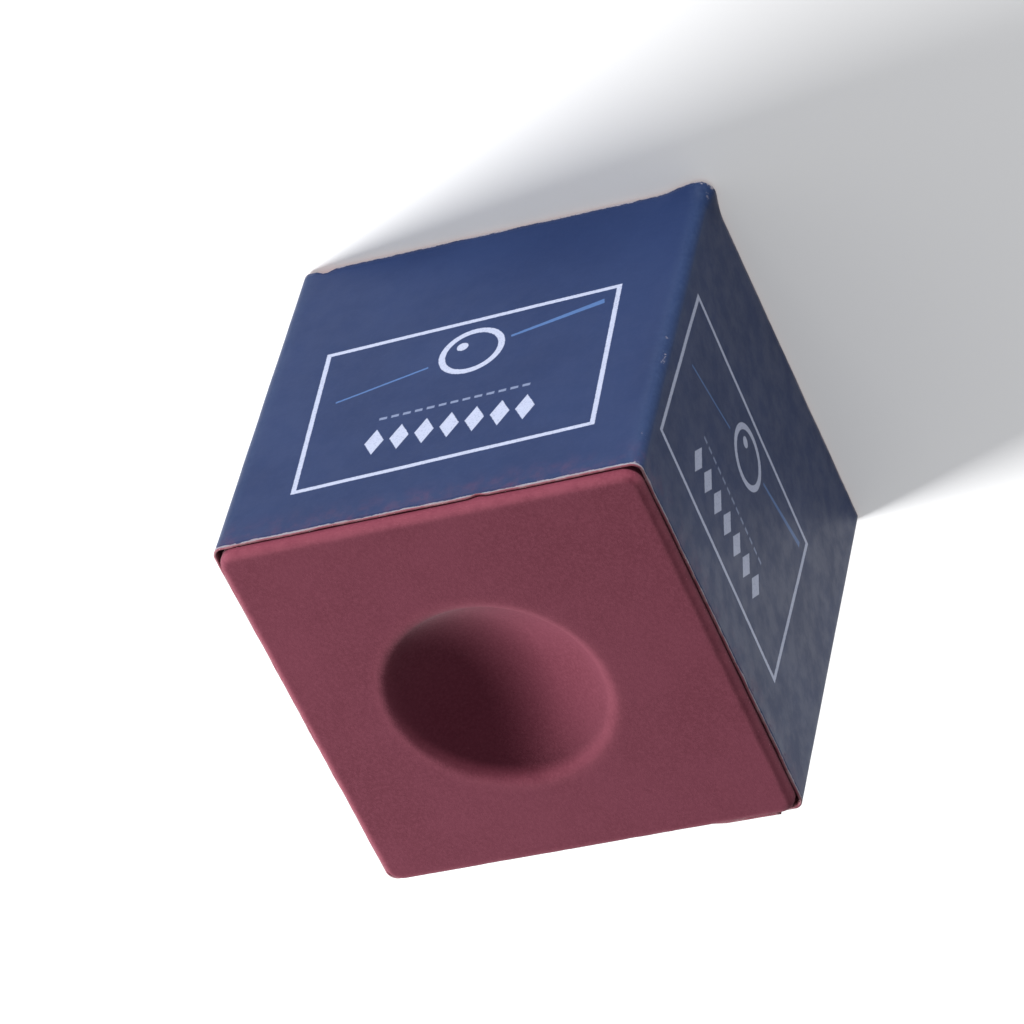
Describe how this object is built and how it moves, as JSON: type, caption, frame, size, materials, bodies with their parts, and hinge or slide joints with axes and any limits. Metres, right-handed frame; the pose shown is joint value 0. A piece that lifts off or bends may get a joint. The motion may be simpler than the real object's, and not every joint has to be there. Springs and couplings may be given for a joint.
{
  "type": "cue chalk cube",
  "caption": "Pressed chalk cube with a round dimple in one face for a cue tip and a printed paper label glued round its four sides.",
  "frame": {"origin": "centre of the base, under the middle of the block", "axes": "+Z points out of the face with the dimple; -Y is the label's front panel; the label's lap joint is on the back, +Y"},
  "size_m": [0.022, 0.0221, 0.022],
  "materials": {
    "chalk": "matte",
    "label_paper": "satin",
    "glue": "satin"
  },
  "bodies": {
    "root": {"chalk_block": "chalk", "side_label": "label_paper", "glue_film_front": "glue", "glue_film_right": "glue", "glue_film_back": "glue", "glue_film_left": "glue", "glue_film_lap": "glue"}
  },
  "joints": []
}
